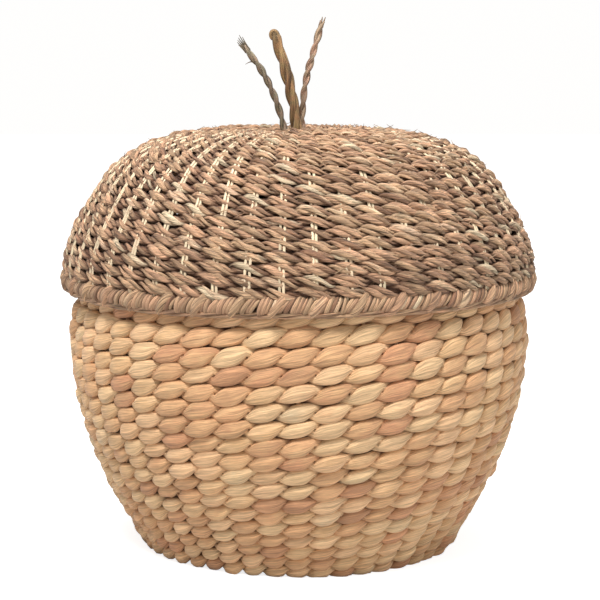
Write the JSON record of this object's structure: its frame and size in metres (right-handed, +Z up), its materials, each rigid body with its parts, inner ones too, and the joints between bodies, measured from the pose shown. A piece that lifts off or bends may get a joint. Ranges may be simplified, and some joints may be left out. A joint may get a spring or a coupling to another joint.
{
  "type": "lidded storage basket",
  "caption": "Round twined storage basket, bulging at the middle, with a domed lid of finer twined grass, a rolled rim and twisted stalks rising from its dimple.",
  "frame": {"origin": "on the floor under the middle of the basket", "axes": "+Z up along the axis of the basket and lid, +X to the right and -Y towards the viewer when the stalks fan out left and right"},
  "size_m": [0.3581, 0.358, 0.3992],
  "materials": {
    "water_hyacinth": "dry plant stem, matt to satin",
    "seagrass": "dry twisted grass, matt",
    "stake": "split cane, matt",
    "pale_rib": "split palm rib, matt",
    "stalk_brown": "dry twisted grass, matt",
    "stalk_grey": "dry twisted grass, matt",
    "stalk_gold": "dry twisted grass, matt",
    "stalk_pink": "dry twisted grass, matt"
  },
  "bodies": {
    "basket": {"wall_stakes": "stake", "wall_course_01": "water_hyacinth", "wall_course_02": "water_hyacinth", "wall_course_03": "water_hyacinth", "wall_course_04": "water_hyacinth", "wall_course_05": "water_hyacinth", "wall_course_06": "water_hyacinth", "wall_course_07": "water_hyacinth", "wall_course_08": "water_hyacinth", "wall_course_09": "water_hyacinth", "wall_course_10": "water_hyacinth", "wall_course_11": "water_hyacinth", "wall_course_12": "water_hyacinth", "wall_course_13": "water_hyacinth", "wall_course_14": "water_hyacinth", "wall_course_15": "water_hyacinth", "wall_course_16": "water_hyacinth", "wall_course_17": "water_hyacinth", "wall_course_18": "water_hyacinth", "wall_course_19": "water_hyacinth", "wall_course_20": "water_hyacinth", "basket_border": "water_hyacinth", "base_centre": "water_hyacinth", "base_courses": "water_hyacinth"},
    "lid": {"lid_rim_band": "seagrass", "lid_rim": "seagrass", "lid_course_01": "seagrass", "lid_course_02": "seagrass", "lid_course_03": "seagrass", "lid_course_04": "seagrass", "lid_course_05": "seagrass", "lid_course_06": "seagrass", "lid_course_07": "seagrass", "lid_course_08": "seagrass", "lid_course_09": "seagrass", "lid_course_10": "seagrass", "lid_course_11": "seagrass", "lid_course_12": "seagrass", "lid_course_13": "seagrass", "lid_course_14": "seagrass", "lid_course_15": "seagrass", "lid_course_16": "seagrass", "lid_course_17": "seagrass", "lid_course_18": "seagrass", "lid_course_19": "seagrass", "lid_course_20": "seagrass", "lid_course_21": "seagrass", "lid_course_22": "seagrass", "lid_course_23": "seagrass", "lid_course_24": "seagrass", "lid_course_25": "seagrass", "lid_course_26": "seagrass", "lid_ribs": "pale_rib", "lid_centre": "seagrass", "stalk_knot": "stalk_brown", "stalk_left": "stalk_grey", "stalk_middle": "stalk_gold", "stalk_right": "stalk_pink"}
  },
  "joints": [
    {"name": "lid_lift", "type": "slide", "parent": "basket", "child": "lid", "axis": [0, 0, 1], "range_m": [0, 0.2]}
  ]
}
